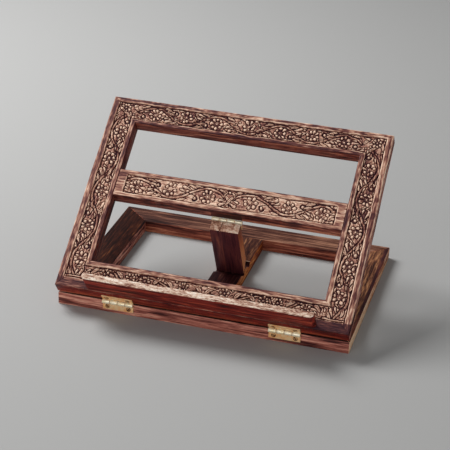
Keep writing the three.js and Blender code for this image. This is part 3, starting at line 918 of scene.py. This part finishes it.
# The first of each pair has its grain across the stand, and the second up the easel.
tilted = {"origin": HINGE_AXIS, "turn": (EASEL_TILT, 0, 0)}
by_side_brightness = {"shifted_by": "wear_and_shading", "sway": 0.9}
face_wood = [wood_finish(
    "face_wood_" + letter, FACE_TONES, along, (22, 1.6), (9, 0.8), (4, 0.5), roughness=0.66,
    shifted_by="wear_and_shading", sway=0.62, waver=0.5, **tilted) for along, letter in enumerate("xv")]
edge_wood = [wood_finish(
    "edge_wood_" + letter, EDGE_TONES, along, *EDGE_GRAIN, roughness=0.62, spread=spread, **tilted)
    for along, (letter, spread) in enumerate((("x", 0.11), ("v", 0.08)))]
under_wood = [wood_finish(
    "under_wood_" + letter, UNDER_TONES, along, (80, 6), (30, 1.2), roughness=0.66, spread=0.16,
    gloss=0.1, **tilted) for along, letter in enumerate("xv")]
front_wood = wood_finish(
    "front_wood", FRONT_TONES, 0, *FRONT_GRAIN, roughness=0.5, spread=0.14, **tilted)
lower_edge_wood = wood_finish(
    "lower_edge_wood", FRONT_TONES, 0, *FRONT_GRAIN, roughness=0.5, spread=0.14, **by_side_brightness, **tilted)
middle_edge_wood = wood_finish(
    "middle_edge_wood", MIDDLE_EDGE_TONES, 0, *EDGE_GRAIN, roughness=0.62, spread=0.11,
    **by_side_brightness, **tilted)
# The left stile's sides get the darker tones as painted shade.
shaded_edge_wood = wood_finish(
    "shaded_edge_wood", SHADED_EDGE_TONES, 1, *EDGE_GRAIN, roughness=0.68, spread=0.11, gloss=0.1, **tilted)
outer_wood = wood_finish(
    "outer_wood", OUTER_TONES, 1, (30, 3), (12, 1.1), roughness=0.66, spread=0.06, gloss=0.1, **tilted)
own_edges = {"lower_rail": lower_edge_wood, "left_stile": shaded_edge_wood, "mid_rail": middle_edge_wood}

BOARD_PITCH = 0.32
UNDER_EASE = 0.5
MITRE_GAP = 0.06


def carved_board(node, corners, along):
    """A board whose face follows the map; corners are its outline, anticlockwise, in mm."""
    xs, vs = zip(*corners)
    wide = max(xs) - min(xs)
    long = max(vs) - min(vs)
    bpy.ops.object.select_all(action="DESELECT")
    bpy.ops.mesh.primitive_grid_add(
        x_subdivisions=round(wide / BOARD_PITCH), y_subdivisions=round(long / BOARD_PITCH), size=1)
    board = bpy.context.object
    board.name = "easel_" + node
    board.scale = (wide, long, 1)
    board.location = ((max(xs) + min(xs)) / 2, (max(vs) + min(vs)) / 2, 0)
    set_in_place(board)
    sides = []
    for start, end in zip(corners, corners[1:] + corners[:1]):
        run = np.array(end) - np.array(start)
        away = np.array([run[1], -run[0]]) / np.hypot(*run)
        sides.append((np.array(start, float), away, abs(away[0] * away[1]) < 1e-6))
    bpy.ops.object.mode_set(mode="EDIT")
    for start, away, square in sides:
        if not square:
            bpy.ops.mesh.select_all(action="SELECT")
            bpy.ops.mesh.bisect(plane_co=(*(start - away * MITRE_GAP), 0), plane_no=(*away, 0),
                                clear_outer=True)
    bpy.ops.mesh.select_all(action="DESELECT")
    bpy.ops.mesh.select_mode(type="EDGE")
    bpy.ops.mesh.select_non_manifold(extend=False)
    bpy.ops.mesh.extrude_edges_move(TRANSFORM_OT_translate={"value": (0, 0, -1)})
    bpy.ops.mesh.extrude_edges_move(TRANSFORM_OT_translate={"value": (0, 0, -1)})
    bpy.ops.mesh.edge_face_add()
    bpy.ops.object.mode_set(mode="OBJECT")

    places = np.empty(len(board.data.vertices) * 3)
    board.data.vertices.foreach_get("co", places)
    places = places.reshape(-1, 3)
    x, v, level = places.T.copy()
    top = level > -0.5
    bottom = level < -1.5
    for start, away, square in sides:
        if square:
            on_side = ((x - start[0]) * away[0] + (v - start[1]) * away[1]) > -0.08
            places[:, :2] -= away * np.where(on_side & bottom, UNDER_EASE, 0)[:, None]
    places[:, 2] = np.where(top, EASEL_TOP + from_map(relief, x, v),
                            np.where(bottom, EASEL_UNDER, EASEL_UNDER + UNDER_EASE))
    wobble = 0.22 * hand_noise(x, v, 16, 41) + 0.08 * hand_noise(x, v, 5, 42)
    places[:, 0] += wobble * rise((np.abs(x) - 146) / 4) * np.sign(x)
    places[:, 1] += wobble * rise((v - 221) / 4) + EASEL_FRONT
    board.data.vertices.foreach_set("co", (places * MM).ravel())
    # The middle rail's sides grow brighter towards the right as painted light; the other boards' sides are
    # lighter in the middle and at the right end.
    if node == "mid_rail":
        side_brightness = 0.75 + 0.5 * np.clip(x / 80, -0.1, 1)
    else:
        side_brightness = 0.7 + 0.23 * (1 - (x / 130) ** 2) + 0.1 * rise((x - 95) / 30)
    shading_per_point = np.where(top, np.clip(from_map(wear_and_shading, x, v), 0, 1), side_brightness)
    board.data.attributes.new("wear_and_shading", "FLOAT", "POINT").data.foreach_set("value", shading_per_point)

    def board_choice(face):
        """The face, an edge, the underside, or the one edge that has a finish of its own."""
        if all(top[point] for point in face.vertices):
            return 0
        if all(bottom[point] for point in face.vertices):
            return 2
        first = face.vertices[0]
        outer_side = node == "right_stile" and x[first] > EASEL_HALF - 1
        inner_side = node == "lower_rail" and v[first] > LOWER_RAIL - 1
        return 3 if outer_side or inner_side else 1

    dress(board, (face_wood[along], own_edges.get(node, edge_wood[along]), under_wood[along],
                  outer_wood if node == "right_stile" else edge_wood[0]), board_choice)
    board.data.update()
    choose(board)
    bpy.ops.object.mode_set(mode="EDIT")
    bpy.ops.mesh.select_all(action="SELECT")
    bpy.ops.mesh.normals_make_consistent(inside=False)
    bpy.ops.object.mode_set(mode="OBJECT")
    bpy.ops.object.shade_smooth_by_angle(angle=math.radians(55))
    put(board, **tilted)
    return board


lower_right = (inner_half, LOWER_RAIL)
lower_left = (-inner_half, LOWER_RAIL)
upper_right = (inner_half, EASEL_LENGTH - TOP_RAIL)
upper_left = (-inner_half, EASEL_LENGTH - TOP_RAIL)
rail_end = inner_half - 0.08
carved = (
    ("lower_rail", [(-150, 0), (150, 0), lower_right, lower_left], 0),
    ("right_stile", [(150, 0), (150, 225), upper_right, lower_right], 1),
    ("top_rail", [(150, 225), (-150, 225), upper_left, upper_right], 0),
    ("left_stile", [(-150, 225), (-150, 0), lower_left, upper_left], 1),
    ("mid_rail", [(-rail_end, MID_RAIL[0]), (rail_end, MID_RAIL[0]),
                  (rail_end, MID_RAIL[1]), (-rail_end, MID_RAIL[1])], 0))
for name, corners, along in carved:
    board = carved_board(name, corners, along)
    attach(board, "easel")
    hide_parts(name)

# The middle rail's underside is let in for the prop's hinge, flush with its leaf.
BED_HALF = 16.3
BED_RUN = (100, 119.9)
BED_DEPTH = 1.3
hinge_bed = block("hinge_bed", (-BED_HALF * MM, BED_RUN[0] * MM, -2 * MM),
                  (BED_HALF * MM, BED_RUN[1] * MM, BED_DEPTH * MM))
put(hinge_bed, **tilted)
cut_away(bpy.data.objects["easel_mid_rail"], hinge_bed)

# The book lip: an upright strip of dark red wood, glued along the front edge of the
# easel. Its front corners are cut off, and its top edge is worn bare and pale.
LIP_HALF = 117.0
LIP_FRONT = 2.6
LIP_BACK = 9.1
LIP_UNDER = 15.24
LIP_TOP = 40.2
LIP_CORNER = 2.5
LIP_WEAR_PITCH = 4.0
WORN_TONES = [(0.0, (112, 66, 56)), (0.3, (180, 138, 118)), (0.6, (228, 198, 176)), (1.0, (252, 238, 222))]


def pick(piece, kind, wanted):
    """Selects the faces or edges of a piece in edit mode that the test wants."""
    bpy.ops.mesh.select_all(action="DESELECT")
    bpy.ops.mesh.select_mode(type="FACE" if kind == "faces" else "EDGE")
    shape = bmesh.from_edit_mesh(piece.data)
    for item in getattr(shape, kind):
        item.select_set(bool(wanted(item)))
    shape.select_flush_mode()
    bmesh.update_edit_mesh(piece.data)


lip = block("easel_book_lip", (-LIP_HALF * MM, LIP_FRONT * MM, LIP_UNDER * MM),
            (LIP_HALF * MM, LIP_BACK * MM, LIP_TOP * MM))
bpy.ops.object.mode_set(mode="EDIT")
pick(lip, "edges", lambda edge: all(point.co.y < 3 * MM for point in edge.verts)
     and abs(edge.verts[0].co.z - edge.verts[1].co.z) > 10 * MM)
bpy.ops.mesh.bevel(offset=LIP_CORNER * MM, segments=1, affect="EDGES")
bpy.ops.object.mode_set(mode="OBJECT")
saw(lip, [((cut_x * MM, 0, 0), (1, 0, 0)) for cut_x in np.arange(-112, 113, LIP_WEAR_PITCH)],
    through=False)
ease_edges(lip, 0.7 * MM, segments=3)
for point in lip.data.vertices:
    if point.co.z > 38 * MM:
        run = np.array([point.co.x / MM])
        point.co.z += float(hand_noise(run, run * 0, 22, 51)[0]) * 0.3 * MM - 0.2 * MM
        point.co.y += float(hand_noise(run, run * 0, 13, 52)[0]) * 0.25 * MM
lip_worn = wood_finish("lip_worn", WORN_TONES, 0, (16, 2.6), (3.4, 0.9), (1.2, 0.6), roughness=0.75,
                       relief=0.35, streaks=0.5, spread=0.12, shifted_by="bleached", sway=0.95, **tilted)
fade(lip, "bleached",
     lambda point: 0.58 - 0.08 * point.x / (LIP_HALF * MM) - 0.12 * abs(point.y / MM - 6) / 3)
dress(lip, (front_wood, lip_worn, under_wood[0]),
      lambda face: 1 if face.normal.z > 0.35 else 2 if face.normal.y > 0.7 else 0)
put(lip, **tilted)
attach(lip, "easel")
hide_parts("book_lip")

# The prop: a flat strut hinged under the middle rail, with a rebate at its top for the
# hinge's leaf and a foot cut at 45 degrees to drop into a notch of the base. Its top is
# sawn a little out of square, and is bare end grain with an old drying crack.
PROP_HALF = 15.0
PROP_BACK = -1.5
PROP_FRONT = -13.5
PROP_TOP = -1.0
PROP_TOP_BACK = 0.54
PROP_TOE = -72.8
PROP_HINGE = (110.6, -1.3)
PROP_TURN = math.radians(28.7)
REBATE_FOOT = -9.3
REBATE_FACE = -2.6
CRACK_HALF = 0.32
CRACK_LENGTH = 16
CRACK_TURN = math.radians(-8)
PROP_TONES = [(0.0, (46, 18, 28)), (0.35, (82, 40, 46)), (0.65, (104, 52, 52)), (1.0, (146, 80, 64))]
SIDE_TONES = [(0.0, (60, 28, 22)), (0.35, (128, 60, 34)), (0.6, (200, 100, 46)), (1.0, (236, 148, 80))]
END_TONES = [
    (0.0, (100, 56, 46)), (0.35, (186, 132, 108)), (0.7, (234, 188, 162)), (1.0, (252, 226, 202))]

hinge_run = PROP_HINGE[0] * MM
hinge_up = PROP_HINGE[1] * MM
prop_axis = (0,
             HINGE_AXIS[1] + hinge_run * math.cos(EASEL_TILT) - hinge_up * math.sin(EASEL_TILT),
             HINGE_AXIS[2] + hinge_run * math.sin(EASEL_TILT) + hinge_up * math.cos(EASEL_TILT))
swung = {"origin": prop_axis, "turn": (PROP_TURN, 0, 0)}

prop = block("prop_strut", (-PROP_HALF * MM, PROP_FRONT * MM, PROP_TOE * MM),
             (PROP_HALF * MM, PROP_BACK * MM, PROP_TOP * MM))
saw(prop, [((0, PROP_FRONT * MM, PROP_TOE * MM), (0, 1, -1))])
for point in prop.data.vertices:
    if point.co.z > (PROP_TOP - 0.1) * MM and point.co.y > (PROP_BACK - 0.1) * MM:
        point.co.z = PROP_TOP_BACK * MM
saw(prop, [((0, 0, height * MM), (0, 0, 1)) for height in (-18, -36, -54)], through=False)
cut_away(prop, block("rebate", (-17 * MM, REBATE_FACE * MM, REBATE_FOOT * MM), (17 * MM, 1 * MM, 1 * MM)))
ease_edges(prop, 0.4 * MM)
crack = block("crack", (-CRACK_HALF * MM, -CRACK_LENGTH / 2 * MM, -1.2 * MM),
              (CRACK_HALF * MM, CRACK_LENGTH / 2 * MM, 2.4 * MM))
put(crack, (-4 * MM, -8.5 * MM, PROP_TOP * MM), (0, 0, CRACK_TURN))
cut_away(prop, crack)
prop_wood = wood_finish(
    "prop_wood", PROP_TONES, 2, (60, 8), (30, 1.2), spread=0.2, waver=1.1, **swung)
prop_side = wood_finish(
    "prop_side", SIDE_TONES, 2, (120, 6), (60, 1.3), shifted_by="bleached", sway=0.35, **swung)
prop_end = wood_finish(
    "prop_end", END_TONES, 1, (5, 7), (1.4, 1.8), (0.6, 0.6), roughness=0.75, relief=0.25,
    spread=0.1, streaks=0.65, shifted_by="end_bleached", sway=0.75, pore_tone=0.75, **swung)
fade(prop, "bleached", lambda point: 0.84 - 0.54 * float(rise((point.z / MM + 44) / 40)))
fade(prop, "end_bleached", lambda point: 0.6 + 0.12 * point.x / (PROP_HALF * MM))


def prop_choice(face):
    """Bare wood on the top and on the lip of the cut foot, and sawn wood on both sides."""
    if face.normal.z > 0.7 or (face.normal.z < -0.6 and face.normal.y > 0.6):
        return 2
    return int(abs(face.normal.x) > 0.7)


dress(prop, (prop_wood, prop_side, prop_end), prop_choice)
put(prop, **swung)
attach(prop, "prop")
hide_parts("prop")

# The butt hinges: three of one pattern, two on the front edge and one, with finer rolls,
# under the middle rail. Each leaf is a brass plate with two tongues rolled round the pin,
# held by two countersunk screws. The slots and the countersinks are dark, and a pale
# painted highlight lies on the rolls.
HINGE_HALF = 16.0
LEAF_FACE = 1.2
LEAF_BACK = 2.3
LEAF_FOOT = -9.0
LEAF_HEAD = -2.6
TONGUES = ((-16.0, -8.25), (0.25, 7.75))
ROLL = math.radians(296)
PROP_ROLL = 0.8
ROLL_FROM = -2.45
SCREW_RUN = 11.0
SCREW_DROP = -5.7
HEAD_RADIUS = 2.1
HEAD_RIM = 0.16
SLOT_HALF = 0.38
SLOT_DEPTH = 0.55
SINK_RADIUS = 2.5
SINK_TIP = 1.2
SINK_DEPTH = 1.3
HALF_TURN = math.pi


def metal_finish(name, light, dark, roughness, metallic):
    """Metal that has dulled in clouds and is finely scratched."""
    material, tree, shader, position = new_finish(name)
    cloud = noise_at(tree, position, 260, 4)
    scratch = noise_at(tree, position, 1400, 2)
    tree.links.new(toned(tree, cloud, ((0.36, dark), (0.6, light))), shader.inputs["Base Color"])
    tree.links.new(ranged(tree, cloud, 0, 1, roughness + 0.12, roughness - 0.08),
                   shader.inputs["Roughness"])
    stand_out(tree, shader, scratch, 0.08, 0.1 * MM)
    shader.inputs["Metallic"].default_value = metallic
    return material


brass = metal_finish("brass", (255, 216, 164), (255, 186, 122), 0.34, 0.3)
# Pale brass as a painted highlight on the rolls
highlight_brass = metal_finish("highlight_brass", (255, 246, 218), (255, 236, 190), 0.32, 0.3)
screw_brass = metal_finish("screw_brass", (226, 172, 118), (150, 98, 62), 0.36, 0.5)
# Darker brass for the slots and the countersinks
dark_brass = metal_finish("dark_brass", (84, 52, 34), (44, 24, 18), 0.6, 0.3)

leaf_plate = block("hinge_leaf", (-HINGE_HALF * MM, LEAF_FACE * MM, LEAF_FOOT * MM),
                   (HINGE_HALF * MM, LEAF_BACK * MM, LEAF_HEAD * MM))
saw(leaf_plate, [((edge_x * MM, 0, 0), (1, 0, 0)) for edge_x in (TONGUES[0][1], *TONGUES[1])],
    through=False)
bpy.ops.object.mode_set(mode="EDIT")
pick(leaf_plate, "faces", lambda face: face.normal.z > 0.9 and any(
    low * MM < face.calc_center_median().x < high * MM for low, high in TONGUES))
bpy.ops.mesh.extrude_region_move(TRANSFORM_OT_translate={"value": (0, 0, -LEAF_HEAD * MM)})
bpy.ops.mesh.spin(steps=30, angle=-ROLL, center=(0, 0, 0), axis=(1, 0, 0))
bpy.ops.mesh.select_all(action="SELECT")
bpy.ops.mesh.remove_doubles(threshold=0.01 * MM)
bpy.ops.mesh.normals_make_consistent(inside=False)
bpy.ops.object.mode_set(mode="OBJECT")
ease_edges(leaf_plate, 0.13 * MM, angle=50)
for side in (-1, 1):
    bpy.ops.object.select_all(action="DESELECT")
    bpy.ops.mesh.primitive_cone_add(
        vertices=40, radius1=SINK_RADIUS * MM, radius2=SINK_TIP * MM, depth=SINK_DEPTH * MM,
        location=(side * SCREW_RUN * MM, (LEAF_FACE + LEAF_BACK) / 2 * MM, SCREW_DROP * MM),
        rotation=(-HALF_TURN / 2, 0, 0))
    cut_away(leaf_plate, bpy.context.object)


def leaf_choice(face):
    """Dark countersinks, and rolls with a pale painted highlight."""
    to_screw = math.hypot(abs(face.center.x) - SCREW_RUN * MM, face.center.z - SCREW_DROP * MM)
    if to_screw < (SINK_RADIUS + 0.05) * MM and abs(face.normal.y) < 0.98:
        return 2
    return int(face.center.z > LEAF_HEAD * MM and abs(face.normal.x) < 0.5)


dress(leaf_plate, (brass, highlight_brass, dark_brass), leaf_choice)

bpy.ops.object.select_all(action="DESELECT")
bpy.ops.mesh.primitive_cylinder_add(
    vertices=40, radius=HEAD_RADIUS * MM, depth=HEAD_RIM * MM, location=(0, HEAD_RIM / 2 * MM, 0),
    rotation=(-HALF_TURN / 2, 0, 0))
screw = bpy.context.object
screw.name = "screw"
set_in_place(screw)
bpy.ops.object.mode_set(mode="EDIT")
pick(screw, "faces", lambda face: face.normal.y < -0.9)
bpy.ops.mesh.inset(thickness=0.25 * MM, depth=0.1 * MM)
bpy.ops.mesh.inset(thickness=0.6 * MM, depth=0.06 * MM)
pick(screw, "faces", lambda face: face.normal.y > 0.9)
for depth, shrink in ((0.94, 0.45), (6.4, 0.97), (1.0, 0.12)):
    bpy.ops.mesh.extrude_region_move(TRANSFORM_OT_translate={"value": (0, depth * MM, 0)})
    bpy.ops.transform.resize(value=(shrink, 1, shrink), center_override=(0, 0, 0))
bpy.ops.object.mode_set(mode="OBJECT")
cut_away(screw, block("slot_cutter", (-3 * MM, -1 * MM, -SLOT_HALF * MM),
                      (3 * MM, SLOT_DEPTH * MM, SLOT_HALF * MM)))
bpy.ops.object.shade_smooth_by_angle(angle=math.radians(30))


def screw_choice(face):
    """Darker brass on the walls and the floor of the slot."""
    in_slot = abs(face.center.z) < 0.4 * MM and 0.01 * MM < face.center.y < 0.6 * MM
    return int(in_slot and (abs(face.normal.z) > 0.9 or face.normal.y < -0.9))


dress(screw, (screw_brass, dark_brass), screw_choice)


def copied(source, name):
    piece = source.copy()
    piece.data = source.data.copy()
    piece.name = name
    bpy.context.collection.objects.link(piece)
    return piece


carried = {"easel": tilted, "prop": swung}
hinge_leaves = (
    ("left_hinge_lower", "base", (0, 0, 0), (-85.7, -111.6, 13.0), (38, -52)),
    ("right_hinge_lower", "base", (0, 0, 0), (85.7, -111.6, 13.0), (12, 63)),
    ("left_hinge_upper", "easel", (0, HALF_TURN, 0), (-85.7, 0, 0), (71, -18)),
    ("right_hinge_upper", "easel", (0, HALF_TURN, 0), (85.7, 0, 0), (-40, 22)),
    ("prop_hinge_fixed", "easel", (HALF_TURN / 2, 0, 0), (0,) + PROP_HINGE, (5, -66)),
    ("prop_hinge_moving", "prop", (0, 0, HALF_TURN), (0, 0, 0), (48, -9)))
for name, body, turn, shift, slots in hinge_leaves:
    plate = copied(leaf_plate, name + "_brass_leaf")
    if name.startswith("prop"):
        for point in plate.data.vertices:
            if point.co.z > ROLL_FROM * MM:
                point.co.y *= PROP_ROLL
                point.co.z *= PROP_ROLL
    parts = [(plate, name + "_leaf", "brass")]
    for letter, side, angle in (("a", -1, slots[0]), ("b", 1, slots[1])):
        piece = copied(screw, name + "_brass_screw_" + letter)
        put(piece, (side * SCREW_RUN * MM, LEAF_FACE * MM, SCREW_DROP * MM), (0, math.radians(angle), 0))
        parts.append((piece, name + "_screw_" + letter, "screw_brass"))
    for piece, node, slot in parts:
        put(piece, [length * MM for length in shift], turn)
        if body in carried:
            put(piece, **carried[body])
        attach(piece, body)
        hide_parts(node)
bpy.data.objects.remove(leaf_plate)
bpy.data.objects.remove(screw)
for name in ("left_hinge_pin", "right_hinge_pin", "prop_hinge_pin"):
    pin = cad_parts[name]
    pin.data.materials.clear()
    pin.data.materials.append(screw_brass)
